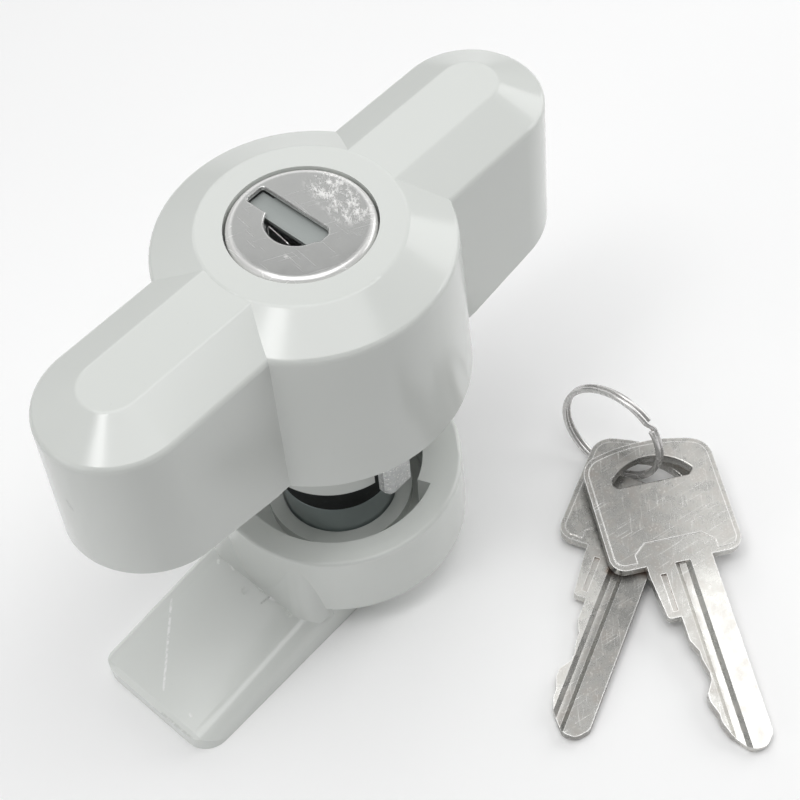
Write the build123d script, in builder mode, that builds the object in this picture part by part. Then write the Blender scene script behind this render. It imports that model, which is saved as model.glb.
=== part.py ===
from build123d import *
import math
import os

# Enclosure key lock: a wing handle with a keyed core, a neck that passes through the door,
# a lever with a cup behind the door, and two keys on a wire ring.
# Millimetres. Z is the spindle axis, pointing out of the door. Z = 0 is the handle's foot.
# The wings lie along X, the lever points to -X, and the keys lie on the +X, -Y side.

# Clearances
seat_gap = 0.1
running_gap = 0.06
loose_gap = 0.3
overlap = 1.0

# Handle
handle_height = 33.2
bevel_drop = 3.8
ridge_drop = 0.1
boss_top_radius = 16.1
boss_shoulder_radius = 23.5
boss_foot_radius = 25.0
wing_reach = 38.6
ridge_half_width = 4.8
wing_shoulder_half_width = 12.2
wing_foot_half_width = 13.2
wing_tip_lift = 4.2
handle_wall = 2.8
handle_round = 1.2
foot_round = 0.6
rib_thickness = 1.8
rib_recess = 6.0
rib_spacing = 9.5
ribs_per_wing = 2

# Face cap and its keyhole
cap_radius = 11.5
cap_proud = 0.1
cap_sheet = 0.6
cap_depth = 3.7
cap_roll = 1.1
keyhole_width = 3.5
keyhole_low = -4.7
keyhole_margin = 0.7
keyhole_corner = 0.9
keyhole_bulge_radius = 5.2
keyhole_bulge_shift = 0.3
keyhole_bulge_rise = 0.8
keyhole_lip = 0.3

# Lock barrel and core
barrel_radius = 12.6
barrel_nose_radius = 11.2
barrel_foot = -2.2
barrel_step = 4.1
core_radius = 8.5
core_head_depth = 6.2
core_head_wall = 0.5
core_tail_width = 6.0
core_tail_length = 4.0
core_foot = -4.6
clip_thickness = 0.9
clip_bite = 1.1
clip_rim = 1.8

# Keyway and wafers
keyway_width = 2.6
keyway_floor = 1.2
blade_play = 0.25
wafer_count = 5
wafer_thickness = 1.0
wafer_half_width = 3.5
wafer_play = 0.05
wafer_travel = 0.9
wafer_ledge = -1.2
wafer_arm = 1.3
nib_start = 2.5
wafer_spring_radius = 0.45

# Dust shutter
shutter_depth = 1.2
shutter_thickness = 0.7
shutter_overlap = 0.2
shutter_hinge_inset = 0.9
shutter_end_play = 0.25
shutter_pocket_depth = 5.4
shutter_pin_radius = 0.35
shutter_eye_radius = 0.65
shutter_ear = 0.8
shutter_ear_foot = 1.0
spring_wire_radius = 0.12
spring_clearance = 0.8
spring_rise = 4.4
spring_hook = 2.0
spring_slant = 0.7
spring_bend = 0.5

# Driver and locking pawl
crank_radius = 2.0
crank_pin_radius = 1.2
driver_radius = 7.5
pawl_height = 4.8
pawl_nose_width = 6.5
pawl_head_width = 11.0
pawl_head_back = 5.0
pawl_head_front = 4.2
pawl_lug_length = 2.5
pawl_lug_foot = -22.7
pawl_lug_round = 1.3
pawl_slot_play = 0.2

# Neck sleeve
neck_radius = 13.8
neck_land = 0.3
neck_land_foot = -9.4
neck_wall = 2.2
neck_foot = -20.4
neck_floor = 4.4
neck_chamfer = 0.5
flange_radius = 21.5
flange_foot = 1.6
flange_thickness = 2.4
column_offset = 18.4
column_radius = 3.2
neck_screw_radius = 1.5
neck_screw_length = 12.0
neck_screw_head_radius = 2.8
neck_screw_head_height = 1.4

# Bush, shaft and hub
shaft_radius = 8.2
bush_radius = 10.5
bush_length = 8.9
hub_radius = 10.3
hub_foot = -38.0
hub_chamfer = 0.4
shaft_top_square = 11.0
shaft_top_engagement = 2.8
shaft_foot_square = 13.0
shaft_foot = -44.8
shaft_screw_radius = 2.5
shaft_screw_head_radius = 4.1
shaft_screw_length = 10.0
screw_slot_share = 0.7

# Lever with its cup
cup_rim = -28.3
cup_radius = 22.6
cup_foot_radius = 23.0
cup_foot = -43.0
cup_bore_radius = 18.1
cup_floor = -36.7
cup_draft = 0.6
cup_round = 0.8
cup_flat_reach = 23.3
cup_flat_half_width = 13.7
cup_flat_corner = 4.5
cup_flat_lean = 2.2
cup_flat_drop = 2.2
cup_flat_sink = 2.5
cup_collar_radius = 13.3
cup_moat_depth = 2.6
hub_hole_radius = 10.65
stop_radius = 15.6
stop_start = -69.0
stop_sweep = 88.0
lever_foot = -51.6
lever_half_width = 13.8
lever_reach = 50.7
lever_root = 17.5
lever_tip_thickness = 4.2
lever_root_thickness = 10.6
lever_corner = 4.6
lever_edge_round = 3.8
lever_tip_bevel = 1.0
lever_web = 1.7
screw_well_radius = 8.6
pocket_depth = 2.2
pocket_wall = 2.6
pocket_corner = 1.5
pockets_per_row = 3

# Lever fastening
lever_screw_radius = 2.9
lever_screw_length = 13.0
lever_screw_head_radius = 5.4
lever_screw_head_height = 2.2
washer_radius = 7.2
washer_thickness = 1.0
spring_washer_radius = 5.2
spring_washer_thickness = 1.1
spring_washer_split = 0.7

# Keys
bow_half_width = 12.4
bow_length = 25.0
bow_crown = 2.4
bow_top_corner = 4.2
bow_low_corner = 2.8
bow_rim = 0.9
key_thickness = 2.0
bow_relief = 0.2
bow_eave = 2.6
bow_eave_half_width = 7.6
bow_notch = 4.5
bow_notch_half_width = 5.4
neck_half_width = 6.15
blade_length = 36.5
blade_inner_edge = -3.1
tongue_length = 10.6
tongue_width = 1.25
tongue_taper = 0.9
tongue_corner = 0.8
tongue_web = 0.9
neck_length = 2.0
tip_slope_length = 3.3
tip_slope_start = 2.2
tip_slope_end = 5.0
tip_chamfer = 2.2
tip_chamfer_width = 1.8
tip_round = 2.0
first_cut = 14.4
last_cut_margin = 2.45
cut_flat = 1.5
cut_depths = (0.3, 1.4, 1.9, 0.45, 1.3)
eye_half_width = 7.8
eye_low = 16.4
eye_side = 17.5
eye_top = 21.5
eye_flare = 1.0
eye_corner = 0.6
eye_lip = 0.35
groove_start = 0.3
groove_width = 2.9
groove_floor_width = 1.2
groove_depth = 0.7
upper_groove = 0.5
lower_groove = 4.0

# Where the keys and the ring lie
front_shoulder = (30.92, -54.59)
front_heading = -126.6
front_rise = 4.2
rear_shoulder = (26.2, -44.99)
rear_heading = -161.6
rear_rise = 1.53
ring_radius = 10.55
ring_wire_radius = 0.38
ring_pitch = 1.2
ring_turns = 2
ring_centre_xy = (42.95, -30.2)
ring_lean = 4.7
ring_heading = -176.5

os.makedirs("parts", exist_ok=True)

# Heights and widths that follow from the sizes above
shoulder_height = handle_height - bevel_drop
ridge_height = handle_height - ridge_drop
cap_top = handle_height + cap_proud
cap_foot = cap_top - cap_depth
cap_hole_radius = cap_radius + loose_gap
keyhole_high = cap_radius - cap_roll - keyhole_margin
roof = handle_height - handle_wall
wing_tip = wing_reach + wing_foot_half_width
boss_hollow_radius = boss_foot_radius - handle_wall
flange_top = flange_foot + flange_thickness
barrel_bore = barrel_radius + seat_gap
barrel_top = cap_foot - loose_gap
core_head_top = cap_top - cap_sheet - seat_gap
core_head_foot = core_head_top - core_head_depth
core_head_radius = cap_radius - cap_sheet - seat_gap
chamber_radius = core_head_radius - core_head_wall
tail_foot = core_foot - core_tail_length
clip_top = barrel_foot - seat_gap
neck_bore = neck_radius - neck_wall
floor_top = neck_foot + neck_floor
pawl_foot = floor_top + loose_gap
pawl_top = pawl_foot + pawl_height
driver_foot = pawl_top + loose_gap
bush_top = neck_foot - loose_gap
hub_top = bush_top - bush_length - loose_gap
web_top = shaft_foot - 2 * seat_gap
well_top = web_top - lever_web
screw_sink = shaft_screw_head_radius - shaft_screw_radius
cup_moat_floor = cup_floor - cup_moat_depth
last_cut = blade_length - tip_slope_length - last_cut_margin - cut_flat / 2
cut_pitch = (last_cut - first_cut) / (len(cut_depths) - 1)


def export(piece, name):
    """Label a finished piece and write it."""
    piece.part.label = name
    export_step(piece.part, f"parts/{name}.step")


def turned(points, mode=Mode.ADD):
    """Turn an outline of radius and height pairs about Z, in the piece being built."""
    with BuildSketch(Plane.XZ) as profile:
        with BuildLine():
            Polyline(*points, close=True)
        make_face()
    revolve(profile.sketch, axis=Axis.Z, mode=mode)


def disc(radius, low, high, mode=Mode.ADD):
    """Cylinder on the Z axis between two heights, in the piece being built."""
    with Locations((0, 0, low)):
        Cylinder(radius, high - low, align=(Align.CENTER, Align.CENTER, Align.MIN), mode=mode)


def block(x_range, y_range, z_range, mode=Mode.ADD):
    """Rectangular block between three pairs of limits, in the piece being built."""
    spans = (x_range, y_range, z_range)
    middle = tuple((low + high) / 2 for low, high in spans)
    size = tuple(high - low for low, high in spans)
    with Locations(middle):
        Box(*size, mode=mode)


def square(half_width, low, high, mode=Mode.ADD):
    """Square bar on the Z axis between two heights, in the piece being built."""
    block((-half_width, half_width), (-half_width, half_width), (low, high), mode=mode)


def cross_recess(reach, depth):
    """Cross-shaped recess for a driver, at the places in force, in the piece being built."""
    Box(2 * reach, reach / 3, depth, mode=Mode.SUBTRACT)
    Box(reach / 3, 2 * reach, depth, mode=Mode.SUBTRACT)


def wing_loft(lower, upper):
    """Both wings between two levels, each given as half width and height."""
    levels = []
    for half_width, height in (lower, upper):
        with BuildSketch(Plane.XY.offset(height)) as level:
            SlotCenterToCenter(2 * wing_reach, 2 * half_width)
        levels.append(level.sketch)
    loft(levels, ruled=True)


# Wings of the handle, with an underside that rises towards the tips
with BuildPart() as wing_body:
    wing_loft((wing_foot_half_width, 0), (wing_shoulder_half_width, shoulder_height))
    wing_loft((wing_shoulder_half_width, shoulder_height), (ridge_half_width, ridge_height))
    for height in (shoulder_height, ridge_height):
        fillet(wing_body.edges().filter_by_position(Axis.Z, height - 0.01, height + 0.01), handle_round)
    lift_start = boss_foot_radius - overlap
    with BuildSketch(Plane.XZ):
        for side in (1, -1):
            with BuildLine():
                Polyline((side * lift_start, 0), (side * wing_tip, wing_tip_lift),
                         (side * (wing_tip + overlap), -overlap), (side * lift_start, -overlap), close=True)
            make_face()
    extrude(amount=2 * wing_foot_half_width, both=True, mode=Mode.SUBTRACT)

# Round boss of the handle
with BuildPart() as boss:
    with BuildSketch(Plane.XZ) as boss_profile:
        with BuildLine():
            Polyline((0, 0), (boss_foot_radius, 0), (boss_shoulder_radius, shoulder_height),
                     (boss_top_radius, handle_height), (0, handle_height), close=True)
        make_face()
        outer_corners = [corner for corner in boss_profile.vertices() if corner.X > boss_top_radius / 2]
        fillet([corner for corner in outer_corners if corner.Y > shoulder_height / 2], handle_round)
        fillet([corner for corner in outer_corners if corner.Y < foot_round], foot_round)
    revolve(axis=Axis.Z)

# Ribs stiffen each wing: one along it and several across it
with BuildPart() as ribs:
    block((-wing_tip, wing_tip), (-rib_thickness / 2, rib_thickness / 2), (rib_recess, handle_height))
    for side in (1, -1):
        for step in range(ribs_per_wing):
            x = side * (boss_foot_radius + rib_thickness / 2 + rib_spacing * step)
            block((x - rib_thickness / 2, x + rib_thickness / 2),
                  (-wing_foot_half_width, wing_foot_half_width), (rib_recess, handle_height))
    disc(boss_hollow_radius, 0, handle_height, mode=Mode.SUBTRACT)

# Hollow of the moulding, one wall inside the outer form, with the ribs left standing
inner_shoulder = shoulder_height - handle_wall / 2
with BuildPart() as hollow:
    wing_loft((wing_foot_half_width - handle_wall, -overlap),
              (wing_shoulder_half_width - handle_wall, inner_shoulder))
    wing_loft((wing_shoulder_half_width - handle_wall, inner_shoulder),
              (ridge_half_width - handle_wall / 3, roof))
    turned([(0, -overlap), (boss_hollow_radius, -overlap),
            (boss_shoulder_radius - handle_wall, inner_shoulder),
            (boss_top_radius - handle_wall / 3, roof), (0, roof)])
    add(ribs.part, mode=Mode.SUBTRACT)

# Handle moulding: outer form, hollow, the tube round the lock and two screw columns
with BuildPart() as handle_shell:
    add(wing_body.part)
    add(boss.part)
    add(hollow.part, mode=Mode.SUBTRACT)
    column_foot = flange_top + seat_gap
    disc(barrel_bore + handle_wall, column_foot, roof + handle_wall / 2)
    with Locations((column_offset, 0, column_foot), (-column_offset, 0, column_foot)):
        Cylinder(column_radius, roof + handle_wall / 2 - column_foot,
                 align=(Align.CENTER, Align.CENTER, Align.MIN))
        Cylinder(neck_screw_radius, neck_screw_length, align=(Align.CENTER, Align.CENTER, Align.MIN),
                 mode=Mode.SUBTRACT)
    disc(cap_hole_radius, flange_foot, handle_height + overlap, mode=Mode.SUBTRACT)
    disc(barrel_bore, flange_foot, barrel_top + seat_gap, mode=Mode.SUBTRACT)
export(handle_shell, "handle_shell")


def keyhole_bulge():
    """Half-round opening on one side of the keyhole, as a flat sketch."""
    with BuildSketch(mode=Mode.PRIVATE) as bulge:
        with Locations((keyhole_bulge_shift, keyhole_bulge_rise)):
            Circle(keyhole_bulge_radius)
        with Locations((0, keyhole_bulge_rise)):
            Rectangle(2 * keyhole_bulge_radius, 2 * keyhole_bulge_radius, align=(Align.MIN, Align.CENTER),
                      mode=Mode.SUBTRACT)
    return bulge.sketch


# Face cap: a shallow pressed cup with a rolled edge
with BuildPart() as face_cap:
    flat_radius = cap_radius - cap_roll
    with BuildSketch(Plane.XZ):
        with BuildLine():
            Line((0, cap_top), (flat_radius, cap_top))
            RadiusArc((flat_radius, cap_top), (cap_radius, cap_top - cap_roll), cap_roll)
            Polyline((cap_radius, cap_top - cap_roll), (cap_radius, cap_foot),
                     (cap_radius - cap_sheet, cap_foot), (cap_radius - cap_sheet, cap_top - cap_roll))
            RadiusArc((cap_radius - cap_sheet, cap_top - cap_roll), (flat_radius, cap_top - cap_sheet),
                      cap_sheet - cap_roll)
            Polyline((flat_radius, cap_top - cap_sheet), (0, cap_top - cap_sheet), (0, cap_top))
        make_face()
    revolve(axis=Axis.Z)
    with BuildSketch(Plane.XY.offset(cap_top)) as slot:
        with Locations((0, (keyhole_low + keyhole_high) / 2)):
            Rectangle(keyhole_width, keyhole_high - keyhole_low)
        chamfer(slot.vertices().group_by(Axis.Y)[0], keyhole_corner)
        fillet(slot.vertices().group_by(Axis.Y)[-1], keyhole_corner / 2)
    with BuildSketch(Plane.XY.offset(cap_top)) as keyhole:
        add(keyhole_bulge())
        add(slot.sketch)
    extrude(amount=-cap_roll, mode=Mode.SUBTRACT)
    fillet(face_cap.faces().filter_by(Plane.XY).sort_by(Axis.Z)[-1].inner_wires().edges(), keyhole_lip)
export(face_cap, "face_cap")

# Lock barrel: the fixed housing of the core, with a groove for the wafers at each end of the turn
with BuildPart() as lock_barrel:
    turned([(0, barrel_foot), (barrel_nose_radius, barrel_foot), (barrel_nose_radius, barrel_step),
            (barrel_radius, barrel_step), (barrel_radius, barrel_top), (0, barrel_top)])
    disc(core_radius + running_gap, barrel_foot, barrel_top, mode=Mode.SUBTRACT)
    disc(core_head_radius + running_gap, core_head_foot - seat_gap, barrel_top, mode=Mode.SUBTRACT)
    groove_half_width = wafer_half_width + 2 * wafer_play
    groove_reach = core_radius + wafer_travel + loose_gap
    groove_top = core_head_foot - barrel_step
    groove_width_range = (-groove_half_width, groove_half_width)
    groove_height_range = (barrel_foot, groove_top)
    block(groove_width_range, (-groove_reach, 0), groove_height_range, mode=Mode.SUBTRACT)
    block((0, groove_reach), groove_width_range, groove_height_range, mode=Mode.SUBTRACT)
export(lock_barrel, "lock_barrel")

# Core: turns with the key, and carries the cap, the shutter and the wafers
wafer_heights = [cap_top - first_cut - cut_pitch * place for place in range(wafer_count)]
blade_half_height = (neck_half_width - blade_inner_edge) / 2
keyway_half_height = blade_half_height + blade_play
keyway_half_width = keyway_width / 2
tongue_edge = blade_half_height + neck_half_width + blade_inner_edge
nib_x = wafer_half_width - wafer_arm
hinge_x = keyhole_width / 2 + shutter_hinge_inset
shutter_edge = keyhole_width / 2 + shutter_overlap
shutter_low = keyhole_low - shutter_overlap
shutter_high = chamber_radius - shutter_end_play
shutter_top = cap_top - shutter_depth
shutter_foot = shutter_top - shutter_thickness
hinge_z = shutter_top - shutter_thickness / 2
hinge_low = shutter_low + shutter_ear + 2 * shutter_end_play
hinge_high = shutter_high - 2 * (shutter_ear + 2 * shutter_end_play)
chamber_floor = shutter_foot - loose_gap
pocket_floor = shutter_top - shutter_pocket_depth
pocket_side = hinge_x + shutter_eye_radius + loose_gap
with BuildPart() as plug:
    turned([(0, core_foot), (core_radius, core_foot), (core_radius, core_head_foot),
            (core_head_radius, core_head_foot), (core_head_radius, cap_top - cap_roll),
            (core_head_radius - cap_roll + cap_sheet, core_head_top), (0, core_head_top)])
    square(core_tail_width / 2, tail_foot, core_foot)
    disc(chamber_radius, chamber_floor, core_head_top, mode=Mode.SUBTRACT)
    block((-shutter_edge - loose_gap, pocket_side),
          (shutter_low - shutter_end_play, shutter_high), (pocket_floor, core_head_top), mode=Mode.SUBTRACT)
    with BuildSketch(Plane.XY.offset(core_head_top)):
        add(keyhole_bulge())
    extrude(amount=pocket_floor - core_head_top, mode=Mode.SUBTRACT)
    block((-keyway_half_width, keyway_half_width), (-keyway_half_height, keyway_half_height),
          (core_foot + keyway_floor, core_head_top), mode=Mode.SUBTRACT)
    block((-keyway_half_width, keyway_half_width), (0, tongue_edge + seat_gap),
          (cap_top - tongue_length - seat_gap, core_head_top), mode=Mode.SUBTRACT)
    for height in wafer_heights:
        with BuildSketch(Plane.XY.offset(height)):
            Rectangle(2 * (wafer_half_width + wafer_play), 2 * (core_radius + overlap))
            with Locations((nib_x + wafer_play, nib_start)):
                Rectangle(core_radius, core_radius, align=Align.MIN, mode=Mode.SUBTRACT)
        extrude(amount=wafer_thickness / 2 + wafer_play, both=True, mode=Mode.SUBTRACT)
    groove_foot = clip_top - clip_thickness - 2 * wafer_play
    turned([(core_radius - clip_bite, clip_top), (core_radius + overlap, clip_top),
            (core_radius + overlap, groove_foot), (core_radius - clip_bite, groove_foot)],
           mode=Mode.SUBTRACT)
    for ear_low in (hinge_low - shutter_end_play / 2 - shutter_ear, hinge_high + shutter_end_play / 2):
        block((hinge_x - shutter_eye_radius, pocket_side + shutter_ear_foot),
              (ear_low, ear_low + shutter_ear), (chamber_floor, hinge_z + shutter_eye_radius))
    with Locations(Location((hinge_x, 0, hinge_z), (90, 0, 0))):
        Cylinder(shutter_pin_radius + running_gap, 2 * chamber_radius, mode=Mode.SUBTRACT)
export(plug, "plug")

# Wafers: sprung plates with a window that the blade passes through
wafer_end = math.sqrt(core_radius**2 - wafer_half_width**2) - wafer_play
for number, height in enumerate(wafer_heights, start=1):
    with BuildPart() as wafer:
        with BuildSketch(Plane.XY.offset(height)):
            Rectangle(2 * wafer_half_width, 2 * wafer_end)
            Rectangle(keyway_width + 2 * wafer_play, 2 * keyway_half_height, mode=Mode.SUBTRACT)
            with Locations((nib_x, wafer_ledge)):
                Rectangle(core_radius, 2 * core_radius, align=Align.MIN, mode=Mode.SUBTRACT)
        extrude(amount=wafer_thickness / 2, both=True)
    export(wafer, f"wafer_{number}")

with BuildPart() as wafer_springs:
    spring_middle = ((nib_x + wafer_half_width) / 2, (nib_start + wafer_ledge) / 2)
    for height in wafer_heights:
        with Locations(Location((*spring_middle, height), (90, 0, 0))):
            Cylinder(wafer_spring_radius, nib_start - wafer_ledge - 2 * wafer_play)
export(wafer_springs, "wafer_springs")

# Clip that keeps the core in the barrel
with BuildPart() as plug_clip:
    with BuildSketch(Plane.XY.offset(clip_top - wafer_play)):
        Circle(core_radius + clip_rim)
        Circle(core_radius - clip_bite + wafer_play, mode=Mode.SUBTRACT)
        Rectangle(core_radius, 2 * core_radius, align=(Align.CENTER, Align.MIN), mode=Mode.SUBTRACT)
    extrude(amount=-clip_thickness)
export(plug_clip, "plug_clip")

# Dust shutter: a flap behind the keyhole, hinged along its long side
with BuildPart() as dust_shutter:
    block((-shutter_edge, hinge_x), (shutter_low, shutter_high - shutter_end_play),
          (shutter_foot, shutter_top))
    with Locations(Location((hinge_x, (hinge_low + hinge_high) / 2, hinge_z), (90, 0, 0))):
        Cylinder(shutter_eye_radius, hinge_high - hinge_low)
    for ear_low in (shutter_low, hinge_high):
        ear_high = hinge_low if ear_low == shutter_low else shutter_high
        block((hinge_x - shutter_eye_radius - loose_gap, hinge_x), (ear_low, ear_high),
              (shutter_foot, shutter_top), mode=Mode.SUBTRACT)
    with Locations(Location((hinge_x, 0, hinge_z), (90, 0, 0))):
        Cylinder(shutter_pin_radius + running_gap, 2 * chamber_radius, mode=Mode.SUBTRACT)
export(dust_shutter, "dust_shutter")

with BuildPart() as shutter_pin:
    with Locations(Location((hinge_x, (hinge_low + hinge_high) / 2, hinge_z), (90, 0, 0))):
        Cylinder(shutter_pin_radius, hinge_high - hinge_low + shutter_end_play + 2 * shutter_ear)
export(shutter_pin, "shutter_pin")

# Shutter spring: a bent wire whose long leg shows in the keyhole's round opening
with BuildPart() as shutter_spring:
    leg_x = -shutter_edge - spring_clearance
    leg_z = shutter_top - spring_wire_radius
    with BuildLine() as spring_path:
        FilletPolyline((leg_x - 1.5 * spring_slant, -spring_hook, pocket_floor + spring_wire_radius),
                       (leg_x - spring_slant, -spring_bend, leg_z), (leg_x, spring_rise, leg_z),
                       (leg_x, spring_rise + spring_bend / 2, leg_z - spring_hook), radius=spring_bend)
    with BuildSketch(Plane(spring_path.line @ 0, z_dir=spring_path.line % 0)):
        Circle(spring_wire_radius)
    sweep()
export(shutter_spring, "shutter_spring")

# Driver: a crank on the core's tail that draws the pawl in as the key turns
crank_x = crank_radius * math.cos(math.radians(45))
with BuildPart() as crank_driver:
    disc(driver_radius, driver_foot, core_foot - loose_gap)
    square(core_tail_width / 2 + running_gap, tail_foot - loose_gap, core_foot, mode=Mode.SUBTRACT)
    with Locations((crank_x, -crank_x, driver_foot)):
        Cylinder(crank_pin_radius, pawl_height, align=(Align.CENTER, Align.CENTER, Align.MAX))
export(crank_driver, "crank_driver")

# Locking pawl: slides out of the neck and locks the handle against the door
nose_end = neck_radius + loose_gap
nose_half = pawl_nose_width / 2
with BuildPart() as locking_pawl:
    block((-pawl_head_width / 2, pawl_head_width / 2), (-pawl_head_front, pawl_head_back),
          (pawl_foot, pawl_top))
    block((-nose_half, nose_half), (-nose_end, 0), (pawl_foot, pawl_top))
    block((-nose_half, nose_half), (-nose_end - pawl_lug_length, -nose_end), (pawl_lug_foot, pawl_top))
    lug_front = locking_pawl.faces().sort_by(Axis.Y)[0]
    chamfer(lug_front.edges().filter_by(Axis.Z), pawl_lug_length / 2)
    chamfer(locking_pawl.faces().sort_by(Axis.Z)[0].edges().sort_by(Axis.Y)[0], pawl_lug_round)
    chamfer(locking_pawl.faces().sort_by(Axis.Z)[0].edges().sort_by(Axis.X)[0], pawl_lug_round)
    with BuildSketch(Plane.XY.offset(pawl_top)):
        with Locations(((crank_x + crank_radius) / 2, -crank_x)):
            SlotCenterToCenter(crank_radius - crank_x + pawl_slot_play,
                               2 * (crank_pin_radius + pawl_slot_play))
    extrude(amount=-pawl_height, mode=Mode.SUBTRACT)
export(locking_pawl, "locking_pawl")

# Neck: flange inside the handle and the sleeve that turns in the door
with BuildPart() as neck:
    turned([(0, neck_foot), (neck_radius - neck_chamfer, neck_foot), (neck_radius, neck_foot + neck_chamfer),
            (neck_radius, neck_land_foot - neck_land), (neck_radius + neck_land, neck_land_foot),
            (neck_radius + neck_land, flange_foot), (flange_radius, flange_foot), (flange_radius, flange_top),
            (0, flange_top)])
    disc(neck_bore, floor_top, flange_top, mode=Mode.SUBTRACT)
    pawl_slot_half = nose_half + pawl_slot_play
    block((-pawl_slot_half, pawl_slot_half), (-neck_radius, -bush_radius),
          (neck_foot, pawl_top + loose_gap), mode=Mode.SUBTRACT)
    square(shaft_top_square / 2 + running_gap, neck_foot, neck_foot + shaft_top_engagement,
           mode=Mode.SUBTRACT)
    turned([(0, neck_foot), (shaft_screw_radius + seat_gap, neck_foot),
            (shaft_screw_radius + seat_gap, floor_top - screw_sink),
            (shaft_screw_head_radius + seat_gap, floor_top), (0, floor_top)], mode=Mode.SUBTRACT)
    with Locations((column_offset, 0, flange_foot), (-column_offset, 0, flange_foot)):
        Cylinder(neck_screw_radius + seat_gap, 2 * flange_thickness, mode=Mode.SUBTRACT)
export(neck, "neck")

# Two screws that draw the neck's flange up against the handle
head_foot = flange_foot - neck_screw_head_height
with BuildPart() as neck_screws:
    with Locations((column_offset, 0, head_foot), (-column_offset, 0, head_foot)):
        Cylinder(neck_screw_head_radius, neck_screw_head_height,
                 align=(Align.CENTER, Align.CENTER, Align.MIN))
        Cylinder(neck_screw_radius - running_gap, neck_screw_head_height + neck_screw_length,
                 align=(Align.CENTER, Align.CENTER, Align.MIN))
        cross_recess(neck_screw_radius, neck_screw_head_height)
export(neck_screws, "neck_screws")

# Bush: the black ring that stays in the door while the lock turns
with BuildPart() as neck_bush:
    disc(bush_radius, bush_top - bush_length, bush_top)
    disc(shaft_radius + running_gap, bush_top - bush_length, bush_top, mode=Mode.SUBTRACT)
export(neck_bush, "neck_bush")

# Drive shaft: square into the neck above, round hub, square into the lever below
with BuildPart() as drive_shaft:
    disc(shaft_radius, hub_top, neck_foot - seat_gap)
    square(shaft_top_square / 2, neck_foot - seat_gap, neck_foot + shaft_top_engagement - seat_gap)
    turned([(0, hub_foot), (hub_radius, hub_foot), (hub_radius, hub_top - hub_chamfer),
            (hub_radius - hub_chamfer, hub_top), (0, hub_top)])
    square(shaft_foot_square / 2, shaft_foot, hub_foot)
    disc(shaft_screw_radius + running_gap, floor_top - shaft_screw_length - overlap,
         neck_foot + shaft_top_engagement, mode=Mode.SUBTRACT)
    disc(lever_screw_radius + running_gap, shaft_foot, shaft_foot + lever_screw_length, mode=Mode.SUBTRACT)
export(drive_shaft, "drive_shaft")

with BuildPart() as shaft_screw:
    turned([(0, floor_top - shaft_screw_length), (shaft_screw_radius, floor_top - shaft_screw_length),
            (shaft_screw_radius, floor_top - screw_sink), (shaft_screw_head_radius, floor_top),
            (0, floor_top)])
    with Locations((0, 0, floor_top)):
        Box(2 * screw_slot_share * shaft_screw_head_radius, shaft_screw_radius / 3, screw_sink,
            mode=Mode.SUBTRACT)
export(shaft_screw, "shaft_screw")

# Arm of the lever: thinner towards the tip, with rounded long edges
with BuildPart() as lever_arm:
    bevel_start = lever_reach - lever_tip_bevel
    root_end = (0, lever_root_thickness)
    bevel_end = (bevel_start, lever_tip_thickness)
    tip_end = (lever_reach, lever_tip_thickness - lever_tip_bevel)
    for inner, outer in ((root_end, bevel_end), (bevel_end, tip_end)):
        for reach, thickness in (inner, outer):
            with BuildSketch(Plane.YZ.offset(-reach)) as arm_section:
                with Locations((0, lever_foot)):
                    Rectangle(2 * lever_half_width, thickness, align=(Align.CENTER, Align.MIN))
                fillet(arm_section.vertices().group_by(Axis.Y)[-1],
                       min(lever_edge_round, thickness - lever_tip_bevel / 4))
        loft(ruled=True)
    with BuildSketch(Plane.XY.offset(lever_foot)) as arm_outline:
        Rectangle(lever_reach, 2 * lever_half_width, align=(Align.MAX, Align.CENTER))
        fillet(arm_outline.vertices().group_by(Axis.X)[0], lever_corner)
    extrude(amount=2 * lever_root_thickness, mode=Mode.INTERSECT)

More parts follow.
